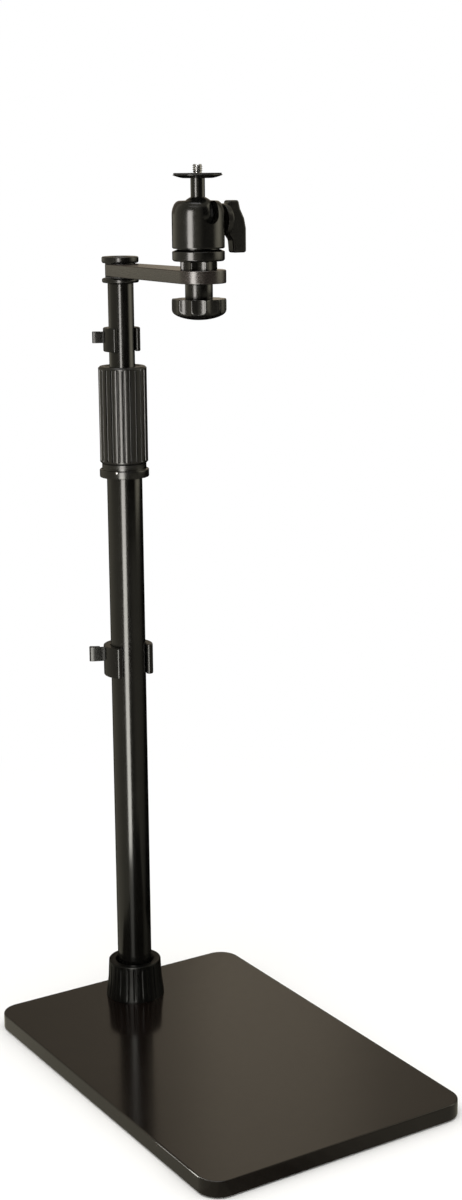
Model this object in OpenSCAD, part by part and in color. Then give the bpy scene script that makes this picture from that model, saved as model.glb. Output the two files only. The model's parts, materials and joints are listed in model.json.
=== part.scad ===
// Portable stand for a small projector: a weighted base plate, a two-tube telescopic
// pole with a twist lock, a swing arm and a ball head with a mounting screw.
// Millimetres. The origin is under the middle of the base, X across it, Y along it,
// and the arm reaches from the pole at the back towards -Y.

/* [Base] */
// Width of the base plate, along X
base_w = 200; // [160:1:260]
// Length of the base plate, along Y
base_l = 300; // [240:1:400]
// Thickness of the base plate
base_t = 11; // [9:0.5:16]
// Radius of the base plate's corners, seen from above
base_corner_r = 15; // [6:1:40]
// Rounding of the base plate's top edge
base_edge_r = 1.4; // [0.4:0.1:3]
// Distance of the pole's axis from the back edge of the base
pole_inset = 30.5; // [26:0.5:60]

/* [Feet] */
// Diameter of a rubber foot
foot_d = 20; // [12:1:30]
// Height that a foot stands below the base plate
foot_t = 1; // [0.5:0.1:4]
// Distance of a foot's centre from the two edges beside it
foot_inset = 22; // [16:1:40]

/* [Base collar] */
// Diameter of the collar's top rim
collar_top_d = 38.5; // [32:0.5:46]
// Diameter of the collar where it meets the base
collar_foot_d = 43; // [38:0.5:52]
// Height of the collar
collar_h = 27.5; // [16:0.5:40]
// Number of flutes round the collar
collar_flutes = 24; // [12:2:36]
// Depth of one flute of the collar
collar_flute_depth = 0.7; // [0.3:0.1:1]

/* [Lower tube] */
// Outer diameter of the lower tube
lower_tube_d = 25; // [22:0.5:30]
// Wall of the lower tube
lower_tube_wall = 1.5; // [1:0.1:2]
// Length of the lower tube
lower_tube_l = 431; // [380:1:600]

/* [Upper tube] */
// Outer diameter of the upper tube
upper_tube_d = 18; // [16:0.5:19]
// Wall of the upper tube
upper_tube_wall = 1.2; // [0.8:0.1:2]
// Length of the upper tube
upper_tube_l = 425; // [400:1:430]
// Length of the upper tube that stands out of the twist lock
upper_tube_out = 57.6; // [45:0.1:300]

/* [Twist lock] */
// Diameter of the fixed ring under the grip
ring_d = 34.8; // [32:0.1:40]
// Height of the fixed ring
ring_h = 6; // [4:0.1:10]
// Diameter of the neck between the ring and the grip
neck_d = 31.3; // [29:0.1:32]
// Height of the neck
neck_h = 4.3; // [2:0.1:8]
// Diameter of the grip
grip_d = 34; // [33:0.1:40]
// Height of the grip
grip_h = 68; // [60:0.1:80]
// Number of ribs round the grip
grip_ribs = 24; // [12:2:36]
// Depth of the grooves between the ribs
grip_groove_depth = 0.6; // [0.3:0.1:1]
// Chamfer at both ends of the grip
grip_chamfer = 1.2; // [0.5:0.1:2]
// Length of the lower tube that the grip and its ring cover
grip_cover = 39.1; // [30:0.1:45]

/* [Cable clips] */
// Height of the lower clip's middle above the base
lower_clip_z = 259; // [80:1:360]
// Wall of the lower clip
lower_clip_wall = 5.2; // [3:0.1:6]
// Height of the lower clip
lower_clip_h = 22; // [15:1:30]
// Outer diameter of the lower clip's cable hook
lower_hook_d = 11.6; // [9:0.1:14]
// Height of the lower clip's cable hook
lower_hook_h = 10.5; // [6:0.1:14]
// Distance from the top of the lower clip down to its hook
lower_hook_drop = 2; // [1:0.5:8]
// Distance from the top of the upper tube down to the upper clip
upper_clip_drop = 30.8; // [20:0.1:34]
// Wall of the upper clip
upper_clip_wall = 3.9; // [2.5:0.1:5]
// Height of the upper clip
upper_clip_h = 16.5; // [10:0.5:20]
// Outer diameter of the upper clip's cable hook
upper_hook_d = 8.8; // [8.4:0.1:12]
// Height of the upper clip's cable hook
upper_hook_h = 8; // [5:0.1:10]
// Distance from the top of the upper clip down to its hook
upper_hook_drop = 2.8; // [1:0.1:5]
// Wall of a cable hook
hook_wall = 1.2; // [0.8:0.1:1.5]

/* [Swing arm] */
// Reach of the arm, from the pole's axis to the ball head's axis
arm_reach = 104.5; // [80:0.5:150]
// Width of the arm at the pole
arm_pole_d = 21; // [20:0.5:25]
// Width of the arm at the ball head
arm_head_d = 34.5; // [28:0.5:40]
// Thickness of the arm
arm_t = 8.5; // [6:0.1:12]
// Diameter of the discs over and under the arm at the pole
disc_d = 25.6; // [24:0.1:32]
// Thickness of the disc that tops the upper tube
flange_t = 3.2; // [2:0.1:6]
// Thickness of the cap over the arm
cap_t = 4.5; // [3:0.1:8]
// Diameter of the cap's pivot pin
pivot_d = 8; // [6:0.5:10]

/* [Arm clamp] */
// Diameter of the clamp knob
clamp_knob_d = 37; // [30:0.5:44]
// Height of the clamp knob's fluted rim
clamp_rim_h = 6.4; // [6:0.1:14]
// Height of the clamp knob's domed underside
clamp_dome_h = 7.2; // [3:0.1:8]
// Number of flutes round the clamp knob
clamp_flutes = 12; // [8:1:16]
// Depth of one flute of the clamp knob
clamp_flute_depth = 1.1; // [0.5:0.1:1.5]
// Diameter of the spacer between the arm and the clamp knob
spacer_d = 18; // [14:0.5:24]
// Height of the spacer
spacer_h = 10.1; // [6:0.1:16]
// Diameter of the clamp stud
stud_d = 9.5; // [7.5:0.1:10]

/* [Ball head] */
// Diameter of the ball head's neck
head_neck_d = 25.6; // [22:0.1:30]
// Height of the ball head's neck
head_neck_h = 5.5; // [3:0.1:10]
// Diameter of the ball head
head_d = 34; // [32:0.5:40]
// Height of the panning base
pan_h = 6.2; // [5:0.1:12]
// Bevel round the underside of the panning base
pan_bevel = 1; // [0.6:0.1:4]
// Height of the gap between the panning base and the housing
pan_gap = 1.8; // [0.5:0.1:2]
// Height of the housing
housing_h = 30.2; // [28:0.1:36]
// Rounding of the housing's top edge
housing_edge_r = 5; // [2:0.1:6]
// Diameter of the ball
ball_d = 24; // [20:0.5:25]
// Height of the ball's top above the housing
ball_rise = 3.2; // [2:0.1:4]
// Width of the slot that the stem tilts into
slot_w = 11.6; // [10.4:0.1:14]

/* [Lock lever] */
// Diameter of the lever's hub
hub_d = 20.5; // [16:0.1:24]
// Thickness of the lever's hub
hub_t = 4.2; // [3:0.1:8]
// Distance of the lever's axis below the ball's centre
lock_drop = 3.5; // [0:0.1:5]
// Diameter of the locking screw
lock_screw_d = 6; // [4:0.1:7]
// Width of the lever, along Y
lever_w = 8; // [6:0.5:14]
// Depth of the lever, along X
lever_depth = 13; // [9:0.1:18]
// Reach of the lever above its axis
lever_up = 12.2; // [8:0.1:18]
// Reach of the lever below its axis
lever_down = 20.4; // [12:0.1:28]

/* [Platform] */
// Diameter of the stem
stem_d = 9.3; // [8:0.1:10]
// Height of the platform's underside above the ball's centre
stem_l = 22.8; // [20:0.1:40]
// Diameter of the platform
platform_d = 32; // [28:0.5:44]
// Diameter of the platform's underside at the stem
platform_foot_d = 17; // [12:0.5:24]
// Height of the platform's sloping underside
platform_slope_h = 1.9; // [1:0.1:4]
// Height of the platform's rim
platform_rim_h = 0.4; // [0.3:0.1:2]
// Thickness of the rubber pad
pad_t = 1; // [0.6:0.1:2]
// Diameter of the mounting screw
mount_screw_d = 6.35; // [5:0.05:8]
// Length of the mounting screw above the pad
mount_screw_l = 5.5; // [4:0.1:8]

/* [Hidden] */
$fn = 64;

// Fits: gaps on the radius, unless they say otherwise
slide_fit = 0.05;
turn_gap = 0.3;
loose_fit = 0.4;
// Overrun of a cut past the face that it opens
over = 1;

// Heights of the base
plate_z = foot_t;
plate_top = plate_z + base_t;
pole_y = base_l / 2 - pole_inset;
corner_x = base_w / 2 - base_corner_r;
corner_y = base_l / 2 - base_corner_r;
foot_recess = 0.8;

// Bolt that holds the pole to the base
bolt_d = 10;
bolt_head_d = 16;
bolt_head_h = 5;
bolt_socket_af = 8;
bolt_socket_depth = 3;
bolt_grip = 16;
washer_d = 20;
washer_t = 1.2;
bolt_recess_gap = 1;
bolt_recess_d = washer_d + 2 * bolt_recess_gap;
bolt_recess_h = washer_t + bolt_head_h;
plug_d = lower_tube_d - 2 * lower_tube_wall - 2 * slide_fit;
plug_h = 22;

// Base collar
collar_waist_share = 0.45;
collar_waist_d_share = 0.3;
collar_rim_bevel = 1.6;
collar_flute_d = 3.2;

// Lower tube and twist lock
lower_tube_top = plate_top + lower_tube_l;
ring_z = lower_tube_top - grip_cover;
grip_z = ring_z + ring_h + neck_h;
grip_top = grip_z + grip_h;
grip_lip = 4;
grip_groove_share = 0.4;
grip_plain_share = 0.06;
ring_bevel = 0.6;
collet_flange_t = 1.5;
collet_wall = 2.6;
collet_spigot_l = 18;
collet_top_gap = 0.6;
collet_slots = 4;
collet_slot_w = 1.2;
collet_slot_share = 0.7;

// Upper tube, its bush and its flange
upper_tube_top = grip_top + upper_tube_out;
upper_tube_z = upper_tube_top - upper_tube_l;
guide_h = 25;
flange_spigot_l = 24;
flange_bore_l = 20;
flange_z = upper_tube_top;
washer_low_t = 1.2;
washer_high_t = 0.5;
arm_z = flange_z + flange_t + washer_low_t;
arm_top = arm_z + arm_t;
arm_side_inset = 0.1;
cap_z = arm_top + washer_high_t;
cap_bevel = 0.8;
cap_socket_af = 6;
cap_socket_depth = 2;
pivot_l = arm_t + washer_high_t + washer_low_t + flange_t + flange_bore_l / 2;

// Cable clips: angles about the pole, from +X, seen from above
clip_open_angle = -90;
clip_half_gap = 56;
hook_angle = 150;
hook_open_angle = 70;
hook_half_gap = 40;
clip_lip_r_share = 0.5;

// Ball head
head_y = pole_y - arm_reach;
pan_z = arm_top + head_neck_h;
housing_z = pan_z + pan_h + pan_gap;
housing_top = housing_z + housing_h;
ball_z = housing_top + ball_rise - ball_d / 2;
cavity_r = ball_d / 2 + turn_gap;
pan_core_d = 22;
pan_pin_d = 10;
pan_pin_h = 5;
neck_edge = 0.6;
stud_top = pan_z + pan_h / 2;
knob_top = arm_z - spacer_h;
knob_rim_z = knob_top - clamp_rim_h;
knob_floor = knob_rim_z - clamp_dome_h;
knob_edge = 0.8;
knob_dome_step = 15;
clamp_flute_d = 7;
stud_z = knob_rim_z;

// Lock lever: its profile in shares of its depth and of its two reaches
lock_z = ball_z - lock_drop;
hub_x = head_d / 2 + turn_gap;
lever_x = hub_x + hub_t;
screw_tip_gap = 0.3;
screw_tip_drop = max(lock_drop - lock_screw_d / 2, 0);
screw_tip_x = sqrt(pow(ball_d / 2, 2) - pow(screw_tip_drop, 2)) + screw_tip_gap;
lever_inner_shares = [[0, 1], [0, 0.4], [0, -0.45], [0.2, -0.62], [0.26, -1]];
lever_outer_shares = [[1, -1], [1, -0.27], [0.9, 0.05], [0.66, 0.55], [0.56, 1]];

// Stem and platform
stem_seat = 7;
platform_z = ball_z + stem_l;
platform_h = platform_slope_h + platform_rim_h;
platform_top = platform_z + platform_h;
pad_edge = 0.5;
screw_seat = 1.8;
screw_relief = 0.6;
screw_shank_d = mount_screw_d - 2 * screw_relief;
screw_runout = 0.3;
screw_tip_bevel = 0.6;

function polar(r, a) = [r * cos(a), r * sin(a)];

module ring(d, hole_d, h) {
    difference() {
        cylinder(d = d, h = h);
        translate([0, 0, -over]) cylinder(d = hole_d, h = h + 2 * over);
    }
}

// A round bar with both of its end edges bevelled
module bevelled_bar(d, h, bevel) {
    cylinder(d1 = d - 2 * bevel, d2 = d, h = bevel);
    translate([0, 0, bevel]) cylinder(d = d, h = h - 2 * bevel);
    translate([0, 0, h - bevel]) cylinder(d1 = d, d2 = d - 2 * bevel, h = bevel);
}

// Upright scallops spaced evenly round a circle of diameter d
module scallops(d, count, scallop_d, depth, h, lean = 0) {
    for (i = [0 : count - 1])
        rotate([0, 0, i * 360 / count])
            translate([d / 2 - depth + scallop_d / 2, 0, 0])
                rotate([0, -lean, 0])
                    translate([0, 0, -over]) cylinder(d = scallop_d, h = h + 2 * over);
}

// Profile across the plate: its top edges are rounded
module plate_section(w) {
    square_w = w - 2 * base_edge_r;
    translate([-square_w / 2, 0]) square([square_w, base_t]);
    translate([-w / 2, 0]) square([w, base_t - base_edge_r]);
    for (side = [-1, 1])
        translate([side * square_w / 2, base_t - base_edge_r]) circle(r = base_edge_r);
}

module plate_body() {
    for (x = [-corner_x, corner_x], y = [-corner_y, corner_y])
        translate([x, y, 0])
            rotate_extrude()
                intersection() {
                    plate_section(2 * base_corner_r);
                    square([base_corner_r, base_t]);
                }
    translate([0, corner_y, 0]) rotate([90, 0, 0])
        linear_extrude(height = 2 * corner_y) plate_section(base_w);
    translate([-corner_x, 0, 0]) rotate([90, 0, 90])
        linear_extrude(height = 2 * corner_x) plate_section(base_l);
}

module at_feet() {
    for (x = [-1, 1], y = [-1, 1])
        translate([x * (base_w / 2 - foot_inset), y * (base_l / 2 - foot_inset), 0]) children();
}

module base_plate() {
    color([0.2, 0.17, 0.15])
        difference() {
            translate([0, 0, plate_z]) plate_body();
            at_feet()
                translate([0, 0, plate_z - over]) cylinder(d = foot_d, h = foot_recess + over);
            translate([0, pole_y, plate_z - over])
                cylinder(d = bolt_recess_d, h = bolt_recess_h + over);
            translate([0, pole_y, plate_z])
                cylinder(d = bolt_d + 2 * loose_fit, h = base_t + over);
        }
}

module rubber_feet() {
    color([0.08, 0.08, 0.08])
        at_feet() cylinder(d = foot_d - 2 * slide_fit, h = foot_t + foot_recess);
}

module base_bolt() {
    color([0.55, 0.55, 0.56])
        translate([0, pole_y, plate_z])
            difference() {
                union() {
                    cylinder(d = bolt_head_d, h = bolt_head_h);
                    cylinder(d = bolt_d, h = base_t + bolt_grip);
                }
                translate([0, 0, -over])
                    cylinder(d = bolt_socket_af / cos(30), h = bolt_socket_depth + over, $fn = 6);
            }
}

module base_washer() {
    color([0.6, 0.6, 0.6])
        translate([0, pole_y, plate_z + bolt_head_h])
            ring(washer_d, bolt_d + 2 * loose_fit, washer_t);
}

module base_collar() {
    waist_h = collar_h * collar_waist_share;
    waist_r = collar_top_d / 2 + collar_waist_d_share * (collar_foot_d - collar_top_d) / 2;
    inner_r = lower_tube_d / 2 + loose_fit;
    lean = atan((waist_r - collar_top_d / 2) / (collar_h - waist_h));
    color([0.07, 0.07, 0.07])
        translate([0, pole_y, plate_top])
            difference() {
                rotate_extrude()
                    polygon([
                        [inner_r, 0], [collar_foot_d / 2, 0], [waist_r, waist_h],
                        [collar_top_d / 2, collar_h], [inner_r + collar_rim_bevel, collar_h],
                        [inner_r, collar_h - collar_rim_bevel]
                    ]);
                for (i = [0 : collar_flutes - 1])
                    rotate([0, 0, i * 360 / collar_flutes])
                        translate([collar_top_d / 2 + collar_flute_d / 2 - collar_flute_depth, 0, collar_h])
                            rotate([0, 180 - lean, 0])
                                translate([0, 0, -over])
                                    cylinder(d = collar_flute_d, h = collar_h + over);
            }
}

module foot_plug() {
    color([0.5, 0.5, 0.5])
        translate([0, pole_y, plate_top])
            difference() {
                cylinder(d = plug_d, h = plug_h);
                translate([0, 0, -over])
                    cylinder(d = bolt_d + 2 * slide_fit, h = bolt_grip + slide_fit + over);
            }
}

module lower_tube() {
    color([0.06, 0.06, 0.06])
        translate([0, pole_y, plate_top])
            ring(lower_tube_d, lower_tube_d - 2 * lower_tube_wall, lower_tube_l);
}

// A spring clip round a tube, with a small hook beside it that holds a cable
module cable_clip(tube_d, wall, h, clip_hook_d, hook_h, hook_drop) {
    inner_r = tube_d / 2 + slide_fit;
    outer_r = inner_r + wall;
    hook_r = outer_r + clip_hook_d / 2 - hook_wall;
    hook_place = polar(hook_r, hook_angle);
    hook_z = h - hook_drop - hook_h;
    far = 2 * outer_r;
    difference() {
        cylinder(r = outer_r, h = h);
        translate([0, 0, -over]) cylinder(r = inner_r, h = h + 2 * over);
        translate([0, 0, -over])
            linear_extrude(height = h + 2 * over)
                polygon([
                    [0, 0],
                    polar(far, clip_open_angle - clip_half_gap),
                    polar(far, clip_open_angle),
                    polar(far, clip_open_angle + clip_half_gap)
                ]);
    }
    for (side = [-1, 1])
        translate(polar(inner_r + wall / 2, clip_open_angle + side * clip_half_gap))
            cylinder(d = wall, h = h);
    difference() {
        translate([hook_place[0], hook_place[1], hook_z])
            difference() {
                cylinder(d = clip_hook_d, h = hook_h);
                translate([0, 0, -over])
                    cylinder(d = clip_hook_d - 2 * hook_wall, h = hook_h + 2 * over);
                translate([0, 0, -over])
                    linear_extrude(height = hook_h + 2 * over)
                        polygon([
                            [0, 0],
                            polar(clip_hook_d, hook_open_angle - hook_half_gap),
                            polar(clip_hook_d, hook_open_angle),
                            polar(clip_hook_d, hook_open_angle + hook_half_gap)
                        ]);
            }
        translate([0, 0, -over]) cylinder(r = inner_r + wall / 2, h = h + 2 * over);
    }
}

module lower_cable_clip() {
    color([0.1, 0.1, 0.1])
        translate([0, pole_y, plate_top + lower_clip_z - lower_clip_h / 2])
            cable_clip(lower_tube_d, lower_clip_wall, lower_clip_h,
                lower_hook_d, lower_hook_h, lower_hook_drop);
}

module lock_ring() {
    color([0.1, 0.1, 0.1])
        translate([0, pole_y, ring_z])
            difference() {
                union() {
                    bevelled_bar(ring_d, ring_h, ring_bevel);
                    cylinder(d = neck_d, h = ring_h + neck_h - turn_gap);
                }
                translate([0, 0, -over])
                    cylinder(d = lower_tube_d + 2 * slide_fit, h = ring_h + neck_h + 2 * over);
            }
}

module collet() {
    spigot_d = lower_tube_d - 2 * lower_tube_wall - 2 * slide_fit;
    bore_d = upper_tube_d + 2 * slide_fit;
    above = grip_top - grip_lip - collet_top_gap - lower_tube_top;
    color([0.14, 0.14, 0.14])
        translate([0, pole_y, lower_tube_top])
            difference() {
                union() {
                    translate([0, 0, -collet_spigot_l]) cylinder(d = spigot_d, h = collet_spigot_l);
                    cylinder(d = lower_tube_d, h = collet_flange_t);
                    cylinder(d = bore_d + 2 * collet_wall, h = above);
                }
                translate([0, 0, -collet_spigot_l - over])
                    cylinder(d = bore_d, h = collet_spigot_l + above + 2 * over);
                for (i = [0 : collet_slots - 1])
                    rotate([0, 0, i * 360 / collet_slots])
                        translate([0, -collet_slot_w / 2, above * (1 - collet_slot_share)])
                            cube([lower_tube_d, collet_slot_w, above]);
            }
}

module lock_grip() {
    inner_d = lower_tube_d + 2 * turn_gap;
    lip_d = upper_tube_d + 2 * loose_fit;
    groove_w = grip_groove_share * PI * grip_d / grip_ribs;
    plain_h = grip_plain_share * grip_h;
    color([0.09, 0.09, 0.09])
        translate([0, pole_y, grip_z])
            difference() {
                bevelled_bar(grip_d, grip_h, grip_chamfer);
                translate([0, 0, -over]) cylinder(d = inner_d, h = grip_h - grip_lip + over);
                translate([0, 0, -over]) cylinder(d = lip_d, h = grip_h + 2 * over);
                for (i = [0 : grip_ribs - 1])
                    rotate([0, 0, i * 360 / grip_ribs])
                        translate([grip_d / 2 - grip_groove_depth, -groove_w / 2, plain_h])
                            cube([grip_d, groove_w, grip_h - 2 * plain_h]);
            }
}

module upper_tube() {
    color([0.06, 0.06, 0.06])
        translate([0, pole_y, upper_tube_z])
            ring(upper_tube_d, upper_tube_d - 2 * upper_tube_wall, upper_tube_l);
}

// Bush on the upper tube's lower end, which runs inside the lower tube
module tube_guide() {
    guide_d = lower_tube_d - 2 * lower_tube_wall - 2 * slide_fit;
    color([0.2, 0.2, 0.2])
        translate([0, pole_y, upper_tube_z])
            ring(guide_d, upper_tube_d + 2 * slide_fit, guide_h);
}

module upper_cable_clip() {
    color([0.1, 0.1, 0.1])
        translate([0, pole_y, upper_tube_top - upper_clip_drop - upper_clip_h])
            cable_clip(upper_tube_d, upper_clip_wall, upper_clip_h,
                upper_hook_d, upper_hook_h, upper_hook_drop);
}

module pole_flange() {
    spigot_d = upper_tube_d - 2 * upper_tube_wall - 2 * slide_fit;
    color([0.08, 0.08, 0.08])
        translate([0, pole_y, flange_z])
            difference() {
                union() {
                    cylinder(d = disc_d, h = flange_t);
                    translate([0, 0, -flange_spigot_l]) cylinder(d = spigot_d, h = flange_spigot_l);
                }
                translate([0, 0, -flange_bore_l])
                    cylinder(d = pivot_d + 2 * slide_fit, h = flange_bore_l + flange_t + over);
            }
}

module swing_washers() {
    color([0.15, 0.15, 0.15])
        translate([0, pole_y, 0]) {
            translate([0, 0, flange_z + flange_t])
                ring(arm_pole_d, pivot_d + 2 * slide_fit, washer_low_t);
            translate([0, 0, arm_top])
                ring(arm_pole_d, pivot_d + 2 * slide_fit, washer_high_t);
        }
}

module pole_cap() {
    color([0.07, 0.07, 0.07])
        translate([0, pole_y, cap_z])
            difference() {
                union() {
                    bevelled_bar(disc_d, cap_t, cap_bevel);
                    translate([0, 0, -pivot_l]) cylinder(d = pivot_d, h = pivot_l + cap_t / 2);
                }
                translate([0, 0, cap_t - cap_socket_depth])
                    cylinder(d = cap_socket_af / cos(30), h = cap_socket_depth + over, $fn = 6);
            }
}

// Outline of the arm: two round ends joined by straight sides, which run just inside
// the ends' common tangents
module arm_outline() {
    pole_r = arm_pole_d / 2;
    head_r = arm_head_d / 2;
    splay = asin((head_r - pole_r) / arm_reach);
    head_at = [0, -arm_reach];
    circle(r = pole_r);
    translate(head_at) circle(r = head_r);
    polygon([
        polar(pole_r - arm_side_inset, splay), polar(pole_r - arm_side_inset, 180 - splay),
        head_at + polar(head_r - arm_side_inset, 180 - splay),
        head_at + polar(head_r - arm_side_inset, splay)
    ]);
}

module swing_arm() {
    color([0.33, 0.29, 0.27])
        translate([0, pole_y, arm_z])
            difference() {
                linear_extrude(height = arm_t) arm_outline();
                translate([0, 0, -over])
                    cylinder(d = pivot_d + 2 * slide_fit, h = arm_t + 2 * over);
                translate([0, -arm_reach, -over])
                    cylinder(d = stud_d + 2 * slide_fit, h = arm_t + 2 * over);
            }
}

module clamp_spacer() {
    color([0.08, 0.08, 0.08])
        translate([0, head_y, knob_top]) ring(spacer_d, stud_d + 2 * slide_fit, spacer_h);
}

module head_neck() {
    color([0.08, 0.08, 0.08])
        translate([0, head_y, arm_top])
            difference() {
                bevelled_bar(head_neck_d, head_neck_h, neck_edge);
                translate([0, 0, -over])
                    cylinder(d = stud_d + 2 * slide_fit, h = head_neck_h + 2 * over);
            }
}

module pan_base() {
    color([0.1, 0.1, 0.1])
        translate([0, head_y, pan_z])
            difference() {
                union() {
                    cylinder(d1 = head_d - 2 * pan_bevel, d2 = head_d, h = pan_bevel);
                    translate([0, 0, pan_bevel]) cylinder(d = head_d, h = pan_h - pan_bevel);
                    cylinder(d = pan_core_d, h = pan_h + pan_gap);
                    cylinder(d = pan_pin_d, h = pan_h + pan_gap + pan_pin_h);
                }
                translate([0, 0, -over])
                    cylinder(d = stud_d + 2 * slide_fit, h = stud_top - pan_z + slide_fit + over);
            }
}

module clamp_knob() {
    r = clamp_knob_d / 2;
    body_h = clamp_rim_h + clamp_dome_h;
    dome = [for (a = [0 : knob_dome_step : 90]) [r * sin(a), clamp_dome_h * (1 - cos(a))]];
    color([0.08, 0.08, 0.08])
        translate([0, head_y, knob_floor])
            difference() {
                rotate_extrude()
                    polygon(concat(dome, [
                        [r, body_h - knob_edge], [r - knob_edge, body_h], [0, body_h]
                    ]));
                scallops(clamp_knob_d, clamp_flutes, clamp_flute_d, clamp_flute_depth, body_h);
                translate([0, 0, clamp_dome_h])
                    cylinder(d = stud_d + 2 * slide_fit, h = body_h + over);
            }
}

module clamp_stud() {
    color([0.6, 0.6, 0.6])
        translate([0, head_y, stud_z]) cylinder(d = stud_d, h = stud_top - stud_z);
}

// Outline of half of the housing: its top edge is rounded
module housing_half() {
    r = head_d / 2;
    square([r, housing_h - housing_edge_r]);
    square([r - housing_edge_r, housing_h]);
    translate([r - housing_edge_r, housing_h - housing_edge_r])
        intersection() {
            circle(r = housing_edge_r);
            square(housing_edge_r);
        }
}

module ball_housing() {
    color([0.1, 0.1, 0.1])
        translate([0, head_y, 0])
            difference() {
                translate([0, 0, housing_z]) rotate_extrude() housing_half();
                translate([0, 0, ball_z]) sphere(r = cavity_r);
                translate([0, 0, housing_z - over])
                    cylinder(d = pan_pin_d + 2 * slide_fit, h = pan_pin_h + slide_fit + over);
                translate([0, 0, ball_z]) rotate([90, 0, 0]) cylinder(d = slot_w, h = head_d);
                translate([-slot_w / 2, -head_d, ball_z]) cube([slot_w, head_d, housing_h]);
                translate([0, 0, lock_z]) rotate([0, 90, 0])
                    cylinder(d = lock_screw_d + 2 * slide_fit, h = head_d);
            }
}

module lock_screw() {
    color([0.6, 0.6, 0.6])
        translate([screw_tip_x, head_y, lock_z]) rotate([0, 90, 0])
            cylinder(d = lock_screw_d, h = lever_x + lever_depth / 2 - screw_tip_x);
}

// A point of the lever's profile: along X, then up or down from its axis
function lever_point(p) = [p[0] * lever_depth, p[1] * (p[1] > 0 ? lever_up : lever_down)];

module lock_lever() {
    profile = [for (p = concat(lever_inner_shares, lever_outer_shares)) lever_point(p)];
    color([0.12, 0.12, 0.12])
        translate([0, head_y, lock_z])
            difference() {
                union() {
                    translate([hub_x, 0, 0]) rotate([0, 90, 0]) cylinder(d = hub_d, h = hub_t);
                    translate([lever_x, lever_w / 2, 0]) rotate([90, 0, 0])
                        linear_extrude(height = lever_w) polygon(profile);
                }
                translate([hub_x - over, 0, 0]) rotate([0, 90, 0])
                    cylinder(d = lock_screw_d + 2 * slide_fit, h = hub_t + lever_depth / 2 + over);
            }
}

module ball() {
    color([0.5, 0.5, 0.52])
        translate([0, head_y, ball_z])
            difference() {
                sphere(d = ball_d);
                translate([0, 0, ball_d / 2 - stem_seat])
                    cylinder(d = stem_d + 2 * slide_fit, h = ball_d);
            }
}

module ball_stem() {
    color([0.08, 0.08, 0.08])
        translate([0, head_y, ball_z + ball_d / 2 - stem_seat])
            cylinder(d = stem_d, h = stem_l - ball_d / 2 + stem_seat);
}

module platform_disc() {
    color([0.1, 0.1, 0.1])
        translate([0, head_y, platform_z])
            difference() {
                union() {
                    cylinder(d1 = platform_foot_d, d2 = platform_d, h = platform_slope_h);
                    translate([0, 0, platform_slope_h])
                        cylinder(d = platform_d, h = platform_rim_h);
                }
                translate([0, 0, platform_h - screw_seat])
                    cylinder(d = screw_shank_d + 2 * slide_fit, h = screw_seat + over);
            }
}

module platform_pad() {
    color([0.05, 0.05, 0.05])
        translate([0, head_y, platform_top])
            ring(platform_d - 2 * pad_edge, mount_screw_d + 2 * loose_fit, pad_t);
}

// A plain shank through the pad, and above it the thread's outer cylinder
module mount_screw() {
    shank_l = screw_seat + pad_t + screw_runout;
    thread_l = mount_screw_l - screw_runout - screw_tip_bevel;
    color([0.7, 0.7, 0.7])
        translate([0, head_y, platform_top - screw_seat]) {
            cylinder(d = screw_shank_d, h = shank_l);
            translate([0, 0, shank_l]) cylinder(d = mount_screw_d, h = thread_l);
            translate([0, 0, shank_l + thread_l])
                cylinder(d1 = mount_screw_d, d2 = mount_screw_d - 2 * screw_tip_bevel, h = screw_tip_bevel);
        }
}

base_plate();
rubber_feet();
base_bolt();
base_washer();
base_collar();
foot_plug();
lower_tube();
lower_cable_clip();
lock_ring();
collet();
lock_grip();
upper_tube();
tube_guide();
upper_cable_clip();
pole_flange();
swing_washers();
pole_cap();
swing_arm();
clamp_spacer();
head_neck();
pan_base();
clamp_knob();
clamp_stud();
ball_housing();
lock_screw();
lock_lever();
ball();
ball_stem();
platform_disc();
platform_pad();
mount_screw();
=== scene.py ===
import json
import math

import bmesh
import bpy
from mathutils import Matrix, Vector


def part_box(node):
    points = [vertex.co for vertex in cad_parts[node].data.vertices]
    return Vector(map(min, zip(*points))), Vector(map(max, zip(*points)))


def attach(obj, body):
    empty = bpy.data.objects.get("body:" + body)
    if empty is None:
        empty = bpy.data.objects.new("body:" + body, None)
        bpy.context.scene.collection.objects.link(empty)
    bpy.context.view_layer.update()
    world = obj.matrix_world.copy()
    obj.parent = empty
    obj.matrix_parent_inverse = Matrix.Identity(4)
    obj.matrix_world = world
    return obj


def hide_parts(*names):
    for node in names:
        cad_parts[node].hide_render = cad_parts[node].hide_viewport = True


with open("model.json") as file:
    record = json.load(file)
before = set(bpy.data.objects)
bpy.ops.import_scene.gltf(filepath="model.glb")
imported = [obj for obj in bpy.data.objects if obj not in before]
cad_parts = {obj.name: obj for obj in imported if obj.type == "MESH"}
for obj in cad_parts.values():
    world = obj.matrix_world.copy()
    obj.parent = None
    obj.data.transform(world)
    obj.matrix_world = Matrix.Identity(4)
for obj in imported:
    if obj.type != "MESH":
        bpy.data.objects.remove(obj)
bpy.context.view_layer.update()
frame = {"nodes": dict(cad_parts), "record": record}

MM = 0.001
TURN = 2 * math.pi
QUARTER = math.pi / 2
# A profile point nearer to the axis than this lies on it.
ON_AXIS = 1e-9
# Faces that meet at more than this many degrees have a sharp edge between them.
SHARP = 32
# The gap between a round piece and the bore it sits in.
FIT = 0.05 * MM
# A length too small to show, which tells apart points that are meant to differ.
HAIR = 0.01 * MM


class Place:
    """Where an upright round CAD node stands: its axis, outer radius and ends."""

    def __init__(self, node):
        low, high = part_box(node)
        self.x = (low.x + high.x) / 2
        self.y = (low.y + high.y) / 2
        self.r = (high.x - low.x) / 2
        self.low, self.high = low.z, high.z
        self.h = high.z - low.z
        self.axis = (self.x, self.y)


# Mesh building


def evenly(first, last, steps):
    """Evenly spaced values from first to last, both included."""
    return [first + (last - first) * k / steps for k in range(steps + 1)]


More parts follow.
